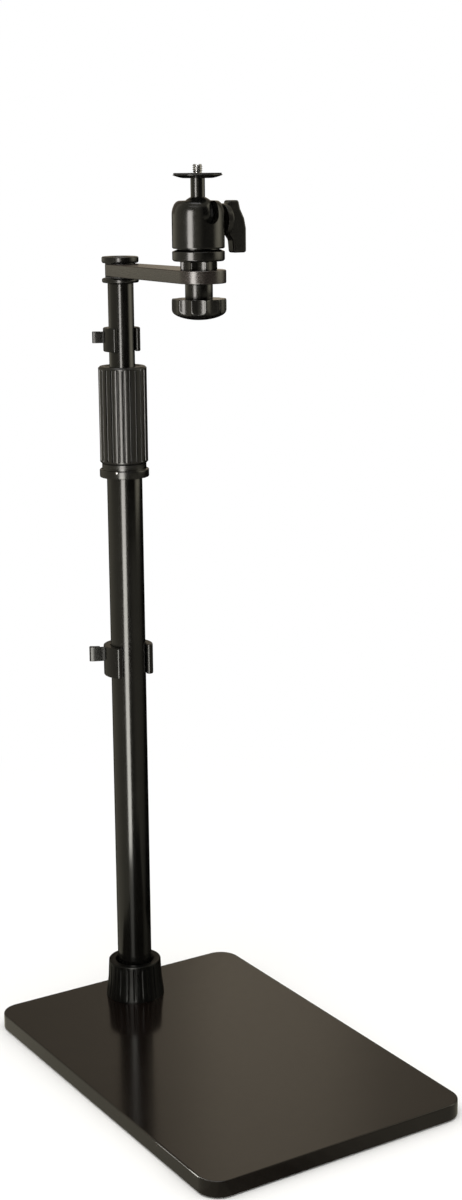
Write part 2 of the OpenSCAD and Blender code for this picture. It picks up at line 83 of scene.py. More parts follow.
def around(centre, radius, angle):
    """The point at this distance from centre, at an angle in radians."""
    return (centre[0] + radius * math.cos(angle), centre[1] + radius * math.sin(angle))


def arc(centre, radius, start, end, steps):
    """Points along an arc, from start to end degrees."""
    return [around(centre, radius, math.radians(a)) for a in evenly(start, end, steps)]


def bar(radius, low, high):
    """The profile of a plain round bar."""
    return [(0, low), (radius, low), (radius, high), (0, high)]


def finish_mesh(bm, name):
    """Turns bm into a smooth-shaded object with sharp edges where its faces meet steeply."""
    bmesh.ops.recalc_face_normals(bm, faces=bm.faces)
    for face in bm.faces:
        face.smooth = True
    mesh = bpy.data.meshes.new(name)
    bm.to_mesh(mesh)
    bm.free()
    mesh.set_sharp_from_angle(angle=math.radians(SHARP))
    obj = bpy.data.objects.new(name, mesh)
    bpy.context.scene.collection.objects.link(obj)
    return obj


def rounded(points, steps=4):
    """A profile in which each (r, z, radius) corner is an arc, and each (r, z) corner stays sharp."""
    largest = 0.49
    out = []
    for i, point in enumerate(points):
        here = Vector(point[:2])
        if len(point) < 3:
            out.append(tuple(here))
            continue
        back = Vector(points[i - 1][:2]) - here
        ahead = Vector(points[(i + 1) % len(points)][:2]) - here
        half = back.angle(ahead) / 2
        # An arc takes up less than half of each side that it joins.
        cut = min(point[2] / math.tan(half), back.length * largest, ahead.length * largest)
        radius = cut * math.tan(half)
        inwards = (back.normalized() + ahead.normalized()).normalized()
        middle = here + inwards * (radius / math.sin(half))
        first = here + back.normalized() * cut - middle
        last = here + ahead.normalized() * cut - middle
        start = math.atan2(first.y, first.x)
        sweep = (math.atan2(last.y, last.x) - start + math.pi) % TURN - math.pi
        out += [around(middle, radius, start + sweep * k / steps) for k in range(steps + 1)]
    return out


def add_lathe(bm, profile, axis=(0, 0), segments=96, relief=None):
    """Turns a profile about an upright axis. It is a ring unless it starts and ends at radius 0."""
    rings = []
    for r, z in profile:
        if r < ON_AXIS:
            rings.append([bm.verts.new((*axis, z))])
            continue
        ring = []
        for i in range(segments):
            angle = TURN * i / segments
            reach = relief(angle, r, z) if relief else r
            ring.append(bm.verts.new((*around(axis, reach, angle), z)))
        rings.append(ring)
    closed = profile[0][0] > ON_AXIS
    for j in range(len(rings) if closed else len(rings) - 1):
        a, b = rings[j], rings[(j + 1) % len(rings)]
        for i in range(segments):
            k = (i + 1) % segments
            corners = [a[i % len(a)], a[k % len(a)], b[k % len(b)], b[i % len(b)]]
            bm.faces.new(list(dict.fromkeys(corners)))


def lathe(name, profile, axis=(0, 0), segments=96, relief=None):
    """An object turned from a profile."""
    bm = bmesh.new()
    add_lathe(bm, profile, axis, segments, relief)
    return finish_mesh(bm, name)


def scallops(count, rim, radius, depth, phase):
    """The relief of upright round scallops, cut to this depth into a bar of radius rim."""
    pitch = TURN / count
    soft = 0.3 * MM
    middle = rim - depth + radius

    def relief(angle, r, z):
        along = (((angle - phase) / pitch + 0.5) % 1 - 0.5) * pitch
        side = middle * math.sin(along)
        if abs(side) >= radius:
            return r
        reach = middle * math.cos(along) - math.sqrt(radius ** 2 - side ** 2)
        deep = r - reach
        # The scallop runs softly into the surface that it cuts.
        return r - (deep + math.sqrt(deep ** 2 + soft ** 2)) / 2 if deep > -4 * soft else r

    return relief


def inset(outline, distance):
    """The outline moved inwards by distance, point by point. It runs counter-clockwise."""
    out = []
    count = len(outline)
    for i in range(count):
        here = Vector(outline[i])
        ahead = (Vector(outline[(i + 1) % count]) - here).normalized()
        back = (here - Vector(outline[i - 1])).normalized()
        n1, n2 = Vector((-back.y, back.x)), Vector((-ahead.y, ahead.x))
        out.append(here + (n1 + n2) * (distance / (1 + n1.dot(n2))))
    return out


def add_slab(bm, outline, low, high, edge_low, edge_high, steps=4, place=Matrix.Identity(4)):
    """Raises an outline from low to high, with rounded edges at both ends."""
    turns = evenly(0, QUARTER, steps)
    layers = [(low + edge_low * (1 - math.cos(a)), edge_low * (1 - math.sin(a))) for a in turns]
    layers += [(high - edge_high * (1 - math.cos(a)), edge_high * (1 - math.sin(a)))
               for a in reversed(turns)]
    rings = []
    for z, distance in layers:
        rings.append([bm.verts.new(place @ Vector((*point, z))) for point in inset(outline, distance)])
    count = len(outline)
    for a, b in zip(rings, rings[1:]):
        for i in range(count):
            k = (i + 1) % count
            bm.faces.new([a[i], a[k], b[k], b[i]])
    bm.faces.new(rings[0][::-1])
    bm.faces.new(rings[-1])


def slab(name, outline, low, high, edge_low, edge_high, steps=4, place=Matrix.Identity(4)):
    """An object raised from an outline."""
    bm = bmesh.new()
    add_slab(bm, outline, low, high, edge_low, edge_high, steps, place)
    return finish_mesh(bm, name)


def merge_points(obj):
    """Makes one point of those that lie on each other."""
    bm = bmesh.new()
    bm.from_mesh(obj.data)
    bmesh.ops.remove_doubles(bm, verts=bm.verts, dist=0.001 * MM)
    bm.to_mesh(obj.data)
    bm.free()


def bake(obj, sharp=SHARP):
    """Applies the modifiers of obj to its mesh."""
    graph = bpy.context.evaluated_depsgraph_get()
    mesh = bpy.data.meshes.new_from_object(obj.evaluated_get(graph))
    obj.modifiers.clear()
    obj.data = mesh
    mesh.polygons.foreach_set("use_smooth", [True] * len(mesh.polygons))
    mesh.set_sharp_from_angle(angle=math.radians(sharp))


def boolean(obj, cutter, operation="DIFFERENCE"):
    """Cuts cutter out of obj, or joins it on, and removes cutter."""
    modifier = obj.modifiers.new("boolean", "BOOLEAN")
    modifier.operation = operation
    modifier.solver = "EXACT"
    modifier.object = cutter
    bake(obj)
    bpy.data.objects.remove(cutter)


def soften(obj, width, angle):
    """Rounds the edges of obj that are sharper than angle and keeps its flat faces flat."""
    bevel = obj.modifiers.new("soften", "BEVEL")
    bevel.width = width
    bevel.segments = 3
    bevel.limit_method = "ANGLE"
    bevel.angle_limit = math.radians(angle)
    bake(obj, sharp=50)
    even(obj)


def even(obj):
    """Lets the large faces of obj set the normals along their edges."""
    modifier = obj.modifiers.new("even", "WEIGHTED_NORMAL")
    modifier.keep_sharp = True
    modifier.weight = 80


# Materials


def math_node(nodes, links, operation, first, second):
    """The output of a node that joins two sockets by a sum, a product or the larger of both."""
    node = nodes.new("ShaderNodeMath")
    node.operation = operation
    links.new(first, node.inputs[0])
    links.new(second, node.inputs[1])
    return node.outputs[0]


def show_mix(nodes, links, output, share, first, second):
    """Shows the shader first where share is 0 and the shader second where it is 1."""
    mix = nodes.new("ShaderNodeMixShader")
    for k, socket in enumerate((share, first, second)):
        links.new(socket, mix.inputs[k])
    links.new(mix.outputs[0], nodes[output].inputs["Surface"])


class Paint:
    """A node material that starts from the object's own coordinates, in metres."""

    def __init__(self, name, roughness, specular=0.5, metallic=0.0):
        self.material = bpy.data.materials.new(name)
        self.material.use_nodes = True
        self.nodes = self.material.node_tree.nodes
        self.links = self.material.node_tree.links
        self.shader = self.nodes["Principled BSDF"]
        self.shader.inputs["Roughness"].default_value = roughness
        self.shader.inputs["Specular IOR Level"].default_value = specular
        self.shader.inputs["Metallic"].default_value = metallic
        self.where = self.nodes.new("ShaderNodeTexCoord").outputs["Object"]

    def noise(self, size, detail=3.0, stretch=(1, 1, 1)):
        """Noise whose features are about size metres across, stretched along the axes."""
        mapping = self.nodes.new("ShaderNodeMapping")
        mapping.inputs["Scale"].default_value = [1 / s for s in stretch]
        self.links.new(self.where, mapping.inputs["Vector"])
        texture = self.nodes.new("ShaderNodeTexNoise")
        texture.inputs["Scale"].default_value = 1 / size
        texture.inputs["Detail"].default_value = detail
        self.links.new(mapping.outputs["Vector"], texture.inputs["Vector"])
        return texture.outputs["Fac"]

    def ramp(self, source, low, high, first, last):
        """Spreads source from low..high over first..last, which are colours or numbers."""
        if isinstance(first, tuple):
            node = self.nodes.new("ShaderNodeValToRGB")
            node.color_ramp.elements[0].position = low
            node.color_ramp.elements[0].color = (*first, 1)
            node.color_ramp.elements[1].position = high
            node.color_ramp.elements[1].color = (*last, 1)
            self.links.new(source, node.inputs["Fac"])
            return node.outputs["Color"]
        node = self.nodes.new("ShaderNodeMapRange")
        for key, value in (("From Min", low), ("From Max", high), ("To Min", first), ("To Max", last)):
            node.inputs[key].default_value = value
        self.links.new(source, node.inputs["Value"])
        return node.outputs["Result"]

    def smears(self, first, last):
        """Numbers between first and last that change softly, as the gloss of a touched surface does."""
        return self.ramp(self.noise(6 * MM, 5.0), *NOISE_SPAN, first, last)

    def drift(self, dark, light):
        """Lets the colour change softly between two tones."""
        self.colour(self.ramp(self.noise(22 * MM, 4.0), 0.35, 0.65, dark, light))

    def colour(self, socket):
        self.links.new(socket, self.shader.inputs["Base Color"])

    def roughness(self, socket):
        self.links.new(socket, self.shader.inputs["Roughness"])

    def bump(self, source, height):
        """Gives the surface a relief of this height, in metres."""
        node = self.nodes.new("ShaderNodeBump")
        node.inputs["Distance"].default_value = height
        self.links.new(source, node.inputs["Height"])
        self.links.new(node.outputs["Normal"], self.shader.inputs["Normal"])


MATERIALS = {}
# Most of the noise lies between these two values.
NOISE_SPAN = (0.3, 0.7)


def coated(name, dark, light, roughness, spread, grain, height, specular=0.5):
    """Paint or moulded plastic: its colour and gloss drift softly, over a fine grain."""
    paint = Paint(name, roughness, specular)
    paint.drift(dark, light)
    paint.roughness(paint.smears(roughness - spread, roughness + spread))
    paint.bump(paint.noise(grain, 2.0), height)
    MATERIALS[name] = paint.material


def moulded(name, dark, light, below, above, step, specular):
    """Plastic that has one roughness below the height step and another above it."""
    fade, spread, grain, height = 1 * MM, 0.02, 0.5 * MM, 0.0004 * MM
    paint = Paint(name, below, specular)
    paint.drift(dark, light)
    split = paint.nodes.new("ShaderNodeSeparateXYZ")
    paint.links.new(paint.where, split.inputs["Vector"])
    level = paint.ramp(split.outputs["Z"], step, step + fade, below, above)
    smears = paint.smears(-spread, spread)
    paint.roughness(math_node(paint.nodes, paint.links, "ADD", level, smears))
    paint.bump(paint.noise(grain, 2.0), height)
    MATERIALS[name] = paint.material


def lined(paint, size, stretch, along, dark, light):
    """Colours paint with fine lines along one axis, which it returns as numbers."""
    lines = paint.noise(size, 3.0, tuple(stretch if axis == along else 1 for axis in "XYZ"))
    paint.colour(paint.ramp(lines, *NOISE_SPAN, dark, light))
    return lines


def streaked(name, dark, light, along, roughness, specular):
    """Paint over fine lines that run along one axis."""
    paint = Paint(name, roughness, specular)
    lines = lined(paint, 0.7 * MM, stretch=24, along=along, dark=dark, light=light)
    paint.roughness(paint.ramp(lines, *NOISE_SPAN, roughness - 0.04, roughness + 0.05))
    paint.bump(lines, 0.001 * MM)
    MATERIALS[name] = paint.material


def brushed(name, colour, along, roughness):
    """Bare metal with fine lines along one axis."""
    paint = Paint(name, roughness, metallic=1.0)
    darker = tuple(c * 0.75 for c in colour)
    lines = lined(paint, 0.35 * MM, stretch=30, along=along, dark=darker, light=colour)
    paint.roughness(paint.ramp(lines, *NOISE_SPAN, roughness - 0.08, roughness + 0.1))
    paint.bump(lines, 0.01 * MM)
    MATERIALS[name] = paint.material


def make_materials():
    coated("base_coat", (0.003, 0.0016, 0.0012), (0.0042, 0.0026, 0.002),
           roughness=0.14, spread=0.015, grain=0.5 * MM, height=0.0008 * MM, specular=0.53)
    coated("foot_rubber", (0.014, 0.014, 0.014), (0.022, 0.022, 0.021),
           roughness=0.8, spread=0.06, grain=0.4 * MM, height=0.03 * MM, specular=0.3)
    brushed("zinc_steel", (0.5, 0.5, 0.51), along="Z", roughness=0.3)
    coated("collar_plastic", (0.0012, 0.0012, 0.0011), (0.0022, 0.0022, 0.002),
           roughness=0.3, spread=0.03, grain=0.8 * MM, height=0.0015 * MM, specular=0.14)
    coated("tube_coat", (0.0026, 0.0024, 0.002), (0.0042, 0.0039, 0.0033),
           roughness=0.18, spread=0.02, grain=0.6 * MM, height=0.0008 * MM)
    coated("clip_plastic", (0.0034, 0.0032, 0.0028), (0.0056, 0.0053, 0.0047),
           roughness=0.22, spread=0.02, grain=0.5 * MM, height=0.0006 * MM, specular=0.36)
    moulded("lock_plastic", (0.003, 0.0027, 0.0022), (0.005, 0.0045, 0.004),
            below=0.22, above=0.3, step=411 * MM, specular=0.55)
    coated("collet_plastic", (0.02, 0.02, 0.02), (0.03, 0.03, 0.03),
           roughness=0.45, spread=0.05, grain=0.5 * MM, height=0.01 * MM)
    coated("disc_coat", (0.003, 0.0028, 0.0024), (0.005, 0.0046, 0.004),
           roughness=0.23, spread=0.025, grain=0.6 * MM, height=0.0006 * MM)
    streaked("arm_coat", (0.009, 0.0052, 0.0046), (0.0145, 0.009, 0.0082),
             along="Y", roughness=0.27, specular=0.8)
    coated("head_alloy", (0.0028, 0.0027, 0.0022), (0.0046, 0.0043, 0.0036),
           roughness=0.21, spread=0.02, grain=0.6 * MM, height=0.0006 * MM)
    coated("knob_plastic", (0.0042, 0.0038, 0.0032), (0.0068, 0.0062, 0.0054),
           roughness=0.25, spread=0.02, grain=0.5 * MM, height=0.001 * MM)
    coated("ball_coat", (0.0028, 0.0028, 0.0025), (0.0046, 0.0045, 0.004),
           roughness=0.2, spread=0.02, grain=0.6 * MM, height=0.0004 * MM)
    coated("pad_rubber", (0.012, 0.012, 0.012), (0.02, 0.02, 0.019),
           roughness=0.75, spread=0.06, grain=0.4 * MM, height=0.02 * MM, specular=0.3)


SLOT_OF = {part["node"]: part["material_slot"] for part in frame["record"]["subparts"]}
BODIES = frame["record"]["behaviour"]["bodies"]
BODY_OF = {node: body for body, nodes in BODIES.items() for node in nodes}


def dress(obj, node):
    """Lets obj stand for a CAD node, on its body and in its material."""
    slot = SLOT_OF[node]
    obj.data.materials.clear()
    obj.data.materials.append(MATERIALS[slot])
    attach(obj, BODY_OF[node])
    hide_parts(node)


# Base

FOOT_R = 10 * MM


def foot_places():
    low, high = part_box("rubber_feet")
    return [(x, y) for x in (low.x + FOOT_R, high.x - FOOT_R) for y in (low.y + FOOT_R, high.y - FOOT_R)]


def rounded_rectangle(width, length, corner, steps=14):
    x, y = width / 2 - corner, length / 2 - corner
    points = []
    for centre, start in (((x, y), 0), ((-x, y), 90), ((-x, -y), 180), ((x, -y), 270)):
        points += arc(centre, corner, start, start + 90, steps)
    return points


def make_base_plate():
    corner, top_edge, bottom_edge = 15 * MM, 1 * MM, 0.5 * MM
    low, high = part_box("base_plate")
    outline = rounded_rectangle(high.x - low.x, high.y - low.y, corner)
    plate = slab("base_plate_body", outline, low.z, high.z, bottom_edge, top_edge, 5)
    over, foot_recess, bolt_gap = 1 * MM, 0.8 * MM, 1 * MM
    washer = Place("base_washer")
    under = low.z - over
    bm = bmesh.new()
    for place in foot_places():
        add_lathe(bm, bar(FOOT_R, under, low.z + foot_recess), place, 48)
    add_lathe(bm, bar(washer.r + bolt_gap, under, washer.high), washer.axis, 48)
    boolean(plate, finish_mesh(bm, "recesses"))
    even(plate)
    dress(plate, "base_plate")


def make_rubber_feet():
    """Four round feet with a shallow dish underneath, a little smaller than their recesses."""
    low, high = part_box("rubber_feet")
    gap, edge, dish_edge, dish_r, dish = 0.1 * MM, 0.4 * MM, 0.1 * MM, 6 * MM, 0.3 * MM
    bm = bmesh.new()
    r = FOOT_R - gap
    for place in foot_places():
        profile = rounded([
            (0, low.z + dish), (dish_r - dish, low.z + dish), (dish_r, low.z, dish_edge),
            (r, low.z, edge), (r, high.z), (0, high.z)])
        add_lathe(bm, profile, place, 48)
    dress(finish_mesh(bm, "feet"), "rubber_feet")


def make_base_collar():
    """A flared foot with a waist. Its fine flutes fade out near both ends."""
    collar = Place("base_collar")
    top_r, waist_r, waist_share, gap = 19.25 * MM, 20 * MM, 0.45, 0.4 * MM
    foot_h, foot_edge, rim = 0.8 * MM, 0.6 * MM, 1.2 * MM
    lip, lip_edge = 1.6 * MM, 0.5 * MM
    flutes, flute_r, flute_depth, steps_a_flute = 24, 1.6 * MM, 0.4 * MM, 16
    plain_h, fade_h = 1.4 * MM, 1.6 * MM
    waist = collar.low + waist_share * collar.h
    inner = Place("lower_tube").r + gap
    outer = [(collar.r, collar.low), (collar.r, collar.low + foot_h, foot_edge)]
    outer += [(collar.r + (waist_r - collar.r) * s, collar.low + foot_h + (waist - collar.low) * s)
              for s in (0.25, 0.5, 0.75, 1)]
    outer += [(waist_r + (top_r - waist_r) * s, waist + (collar.high - waist) * s)
              for s in (0.3, 0.5, 0.7, 0.78, 0.84, 0.9)]
    profile = rounded([(inner, collar.low)] + outer + [
        (top_r, collar.high, rim), (inner + lip, collar.high, lip_edge),
        (inner, collar.high - lip, lip_edge)])
    first, last = collar.low + plain_h, collar.high - plain_h

    def relief(angle, r, z):
        if r < inner + 2 * lip or z > last:
            return r
        pitch = TURN / flutes
        along = ((angle / pitch + 0.5) % 1 - 0.5) * pitch * r
        depth = math.sqrt(max(flute_r ** 2 - along ** 2, 0)) - (flute_r - flute_depth)
        fade = min(1, (last - z) / fade_h) * min(1, max(0, (z - first) / fade_h))
        return r - max(depth, 0) * fade

    dress(lathe("collar", profile, collar.axis, flutes * steps_a_flute, relief), "base_collar")


# Pole


def make_tube(node, name, wall):
    tube = Place(node)
    edge = 0.35 * MM
    inner = tube.r - wall
    profile = rounded([
        (tube.r, tube.low, edge), (tube.r, tube.high, edge),
        (inner, tube.high, edge), (inner, tube.low, edge)], 2)
    dress(lathe(name, profile, tube.axis, 128), node)


def c_outline(centre, inner, outer, opening, half_gap, steps=48):
    """A ring seen from above, open at one side, with round ends. Angles are in degrees."""
    middle, tip = (inner + outer) / 2, (outer - inner) / 2
    start, end = opening + half_gap, opening + 360 - half_gap
    first = around(centre, middle, math.radians(start))
    last = around(centre, middle, math.radians(end))
    points = arc(centre, outer, start, end, steps)
    points += arc(last, tip, end, end + 180, 8)[1:]
    points += arc(centre, inner, end, start, steps)[1:]
    points += arc(first, tip, start + 180, start + 360, 8)[1:-1]
    return points


def hook_outline(inner, outer, reach, wall):
    """A cable hook seen from above, which runs out along X.

    Its front wall leans back from a flat tip, and a shorter wall behind it leaves a gap for the cable.
    """
    back, front, lean = -0.29 * reach, 0.12 * reach, math.tan(math.radians(10))
    tip, bend, free = outer + reach, outer + 0.62 * reach, outer + 0.27 * reach
    root = front - (bend - inner) * lean
    tip_r, end_r, fold_r = 0.12 * reach, 0.45 * wall, 0.4 * MM
    return rounded([
        (free, back, end_r), (tip, back, tip_r), (tip, front, tip_r), (bend, front), (inner, root),
        (inner, root - wall), (bend, front - wall), (tip - wall, front - wall, fold_r),
        (tip - wall, back + wall, fold_r), (free, back + wall, end_r)], 5)


def make_cable_clip(node, name, tube_node, wall, hook_reach, hook_h, hook_drop):
    """A spring clip on a tube, open towards -Y, with a cable hook on its -X side."""
    low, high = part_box(node)
    tube = Place(tube_node)
    opening, half_gap, hook_turn = -90, 56, 150
    hook_wall, edge, hook_edge = 0.9 * MM, 0.8 * MM, 0.25 * MM
    inner = tube.r + FIT
    outer = inner + wall
    bm = bmesh.new()
    add_slab(bm, c_outline(tube.axis, inner, outer, opening, half_gap), low.z, high.z, edge, edge)
    clip = finish_mesh(bm, name)
    side = Matrix.Translation((*tube.axis, 0)) @ Matrix.Rotation(math.radians(hook_turn), 4, "Z")
    top = high.z - hook_drop
    hook = slab("hook", hook_outline(inner, outer, hook_reach, hook_wall), top - hook_h, top,
                hook_edge, hook_edge, 3, side)
    # The hook's root ends within the clip's wall.
    cleared = lathe("cleared", bar(inner + wall / 2, low.z - edge, high.z + edge), tube.axis)
    boolean(hook, cleared)
    boolean(clip, hook, "UNION")
    even(clip)
    dress(clip, node)


def make_lock_ring():
    """A ring and the neck above it. The pin's head sits near the ring's upper edge."""
    ring = Place("lock_ring")
    ring_h, ring_rise, neck_r, pin_drop = 5.6 * MM, 0.4 * MM, 15.65 * MM, 0.9 * MM
    edge, inner_edge = 0.7 * MM, 0.3 * MM
    low = ring.low + ring_rise
    high = low + ring_h
    inner = Place("lower_tube").r + FIT
    profile = rounded([
        (inner, low, inner_edge), (ring.r, low, edge), (ring.r, high, edge),
        (neck_r, high, inner_edge), (neck_r, ring.high), (inner, ring.high)])
    body = lathe("twist_ring", profile, ring.axis, 128)
    make_ring_pin(ring, high - pin_drop)
    dress(body, "lock_ring")


def make_ring_pin(ring, height):
    """The domed head of the pin that holds the ring on the tube."""
    pin_r, rise, seat, angle, steps = 0.9 * MM, 0.35 * MM, 0.6 * MM, math.radians(-138), 8
    dome = [(pin_r * math.cos(a), rise * math.sin(a)) for a in evenly(0, QUARTER, steps)[:-1]]
    bm = bmesh.new()
    add_lathe(bm, [(0, -seat), (pin_r, -seat)] + dome + [(0, rise)], segments=32)
    bm.transform(Matrix.Translation((*ring.axis, height)) @ Matrix.Rotation(angle, 4, "Z")
                 @ Matrix.Translation((ring.r, 0, 0)) @ Matrix.Rotation(QUARTER, 4, "Y"))
    pin = finish_mesh(bm, "ring_pin")
    pin.data.materials.append(MATERIALS["zinc_steel"])
    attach(pin, BODY_OF["lock_ring"])


def make_lock_grip():
    grip = Place("lock_grip")
    ribs, groove_depth, groove_share, rib_rise, steps_a_rib = 24, 1 * MM, 0.3, 0.15 * MM, 28
    turned = math.radians(3)
    plain, run_out = 1.6 * MM, 1.2 * MM
    chamfer, side_edge, edge = 1.2 * MM, 0.5 * MM, 0.3 * MM
    lip_h, lip_gap, turn_gap = 4 * MM, 0.4 * MM, 0.3 * MM
    dip, dip_low_w, dip_high_w = 0.7 * MM, 2.6 * MM, 3.5 * MM
    inner, lip = Place("lower_tube").r + turn_gap, Place("upper_tube").r + lip_gap
    first, last = grip.low + plain, grip.high - plain
    heights = evenly(first, first + run_out, 4)[:-1]
    heights += evenly(first + run_out, last - run_out, 12)
    heights += evenly(last - run_out, last, 4)[1:]
    profile = rounded(
        [(inner, grip.low), (grip.r - chamfer, grip.low, edge), (grip.r, grip.low + chamfer, side_edge)]
        + [(grip.r, z) for z in heights]
        + [(grip.r, grip.high - chamfer, side_edge), (grip.r - chamfer, grip.high, edge),
           (lip + dip_high_w, grip.high, edge), (lip + dip_low_w, grip.high - dip, edge),
           (lip, grip.high - dip, edge), (lip, grip.high - lip_h), (inner, grip.high - lip_h)])

    def relief(angle, r, z):
        """Rounded ribs with a narrow round groove between each two."""
        if r < grip.r - HAIR or not first <= z <= last:
            return r
        along = abs(((angle - turned) * ribs / TURN + 0.5) % 1 - 0.5)
        rib = max(0, (0.5 - along) / (0.5 - groove_share / 2))
        groove = max(0, 1 - (2 * along / groove_share) ** 2)
        fade = min(1, (z - first) / run_out, (last - z) / run_out)
        fade = math.sqrt(max(0, fade * (2 - fade)))
        return r - fade * (rib_rise * min(1, rib) ** 2 + groove_depth * math.sqrt(groove))

    dress(lathe("twist_grip", profile, grip.axis, ribs * steps_a_rib, relief), "lock_grip")


def make_flange():
    flange = Place("pole_flange")
    disc_h, spigot_r, edge = 3.2 * MM, 7.75 * MM, 1.2 * MM
    under = flange.high - disc_h
    profile = rounded([
        (0, flange.low), (spigot_r, flange.low), (spigot_r, under),
        (flange.r, under, edge), (flange.r, flange.high, edge), (0, flange.high)])
    dress(lathe("flange_disc", profile, flange.axis), "pole_flange")


CAP_PIN_R = 4 * MM


def make_cap():
    """A disc on a pin, with a shallow dish and a hexagon socket in its top."""
    cap = Place("pole_cap")
    disc_h, edge_low, edge_high = 4.5 * MM, 1.4 * MM, 1.0 * MM
    under = cap.high - disc_h
    socket_r, socket_depth = 3.46 * MM, 2.4 * MM
    dish_r, dish, dish_edge, dish_fold = 7.5 * MM, 0.5 * MM, 0.3 * MM, 0.2 * MM
    profile = rounded([
        (0, cap.low), (CAP_PIN_R, cap.low), (CAP_PIN_R, under), (cap.r, under, edge_low),
        (cap.r, cap.high, edge_high), (dish_r, cap.high, dish_edge),
        (dish_r - dish, cap.high - dish, dish_fold), (0, cap.high - dish)])
    disc = lathe("cap_disc", profile, cap.axis)
    socket = lathe("socket", bar(socket_r, cap.high - socket_depth, cap.high + dish), cap.axis, 6)
    boolean(disc, socket)
    even(disc)
    dress(disc, "pole_cap")


# Arm

# The bore of the pieces that sit on the clamp stud.
STUD_BORE = 4.8 * MM


def arm_outline(pole, head, pole_r, head_r):
    """Two round ends joined by their common tangents, counter-clockwise. The head end lies towards -Y."""
    splay = math.degrees(math.asin((head_r - pole_r) / (pole[1] - head[1])))
    points = arc(pole, pole_r, splay, 180 - splay, 40)
    points += arc(head, head_r, 180 - splay, 360 + splay, 56)
    return points


def make_swing_arm():
    low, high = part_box("swing_arm")
    pole, head = Place("pole_cap"), Place("clamp_stud")
    pole_r, head_r, overhang, edge = Place("swing_washers").r, 16.2 * MM, 3 * MM, 0.7 * MM
    outline = arm_outline(pole.axis, (head.x, head.y - overhang), pole_r, head_r)
    arm = slab("arm_bar", outline, low.z, high.z, edge, edge)
    bm = bmesh.new()
    for place, r in ((pole, CAP_PIN_R + FIT), (head, head.r + FIT)):
        add_lathe(bm, bar(r, low.z - edge, high.z + edge), place.axis, 48)
    boolean(arm, finish_mesh(bm, "bores"))
    even(arm)
    dress(arm, "swing_arm")


def make_spacer():
    """A plain ring with rounded edges."""
    spacer = Place("clamp_spacer")
    edge = 0.4 * MM
    profile = rounded([
        (STUD_BORE, spacer.low, edge / 2), (spacer.r, spacer.low, edge),
        (spacer.r, spacer.high, edge), (STUD_BORE, spacer.high, edge / 2)])
    dress(lathe("spacer_sleeve", profile, spacer.axis), "clamp_spacer")


def make_neck():
    """A round nut with eight shallow scallops."""
    neck = Place("head_neck")
    edge, count, steps_a_scallop = 0.9 * MM, 8, 32
    relief = scallops(count, neck.r, radius=8 * MM, depth=2.2 * MM, phase=math.radians(15))
    profile = rounded([
        (STUD_BORE, neck.low), (neck.r, neck.low, edge), (neck.r, neck.high, edge), (STUD_BORE, neck.high)])
    dress(lathe("neck_nut", profile, neck.axis, count * steps_a_scallop, relief), "head_neck")


def make_pan_base():
    """A disc whose top slopes up from its rim to a core, so a wedge shows under the housing."""
    pan = Place("pan_base")
    under_housing = Place("ball_housing").low
    core_r, pin_r, bevel = 13.6 * MM, 5 * MM, 1 * MM
    rim_edge, bevel_edge, core_edge = 0.7 * MM, 0.4 * MM, 0.1 * MM
    rim_gap, core_gap = 1.8 * MM, 0.5 * MM
    profile = rounded([
        (STUD_BORE, pan.low), (pan.r - bevel, pan.low, bevel_edge), (pan.r, pan.low + bevel, bevel_edge),
        (pan.r, under_housing - rim_gap, rim_edge), (core_r, under_housing - core_gap, core_edge),
        (core_r, under_housing), (pin_r, under_housing), (pin_r, pan.high), (STUD_BORE, pan.high)], 6)
    dress(lathe("pan_disc", profile, pan.axis, 128), "pan_base")


def make_clamp_knob():
    """A round knob, domed underneath, with twelve scallops round its side."""
    knob = Place("clamp_knob")
    dome_h, edge, count, steps_a_scallop = 7.2 * MM, 0.9 * MM, 12, 32
    dome = [(knob.r * math.sin(a), knob.low + dome_h * (1 - math.cos(a))) for a in evenly(0, QUARTER, 24)]
    side = [(knob.r, z) for z in evenly(knob.low + dome_h, knob.high - edge, 6)[1:-1]]
    profile = rounded(dome + side + [(knob.r, knob.high, edge), (0, knob.high)], 6)
    relief = scallops(count, knob.r, radius=8 * MM, depth=1.8 * MM, phase=math.radians(28.7))
    dress(lathe("clamp_wheel", profile, knob.axis, count * steps_a_scallop, relief), "clamp_knob")


# Ball head


def make_housing():
    """A round body with an elliptic shoulder, a cavity for the ball and a slot for the stem."""
    housing = Place("ball_housing")
    ball = Place("ball")
    shoulder_w, shoulder_h, foot_edge, slot_edge = 5 * MM, 9 * MM, 1 * MM, 0.45 * MM
    cavity_gap, slot_w, hole_r, hole_h = 0.3 * MM, 11.6 * MM, 5.1 * MM, 5.2 * MM
    ball_z = ball.low + ball.r
    shoulder = [(housing.r - shoulder_w * (1 - math.cos(a)), housing.high - shoulder_h * (1 - math.sin(a)))
                for a in evenly(0, QUARTER, 16)]
    profile = rounded([(0, housing.low), (housing.r, housing.low, foot_edge)] + shoulder
                      + [(0, housing.high)], 6)
    body = lathe("head_body", profile, housing.axis, 128)

    cavity = [around((0, ball_z), ball.r + cavity_gap, a) for a in evenly(-QUARTER, QUARTER, 24)]
    cavity[0], cavity[-1] = (0, cavity[0][1]), (0, cavity[-1][1])
    boolean(body, lathe("cavity", cavity, housing.axis, 64))

    half = slot_w / 2
    rise = housing.high - ball_z + half
    outline = [(half, rise), (-half, rise)] + arc((0, 0), half, 180, 360, 24)
    upright = Matrix.Translation((*housing.axis, ball_z)) @ Matrix.Rotation(QUARTER, 4, "X")
    slot = slab("slot", outline, 0, 2 * housing.r, 0, 0, 1, upright)
    merge_points(slot)
    boolean(body, slot)

    hole = lathe("pin_hole", bar(hole_r, housing.low - hole_h, housing.low + hole_h),
                 Place("pan_base").axis, 48)
    boolean(body, hole)
    soften(body, slot_edge, 38)
    dress(body, "ball_housing")


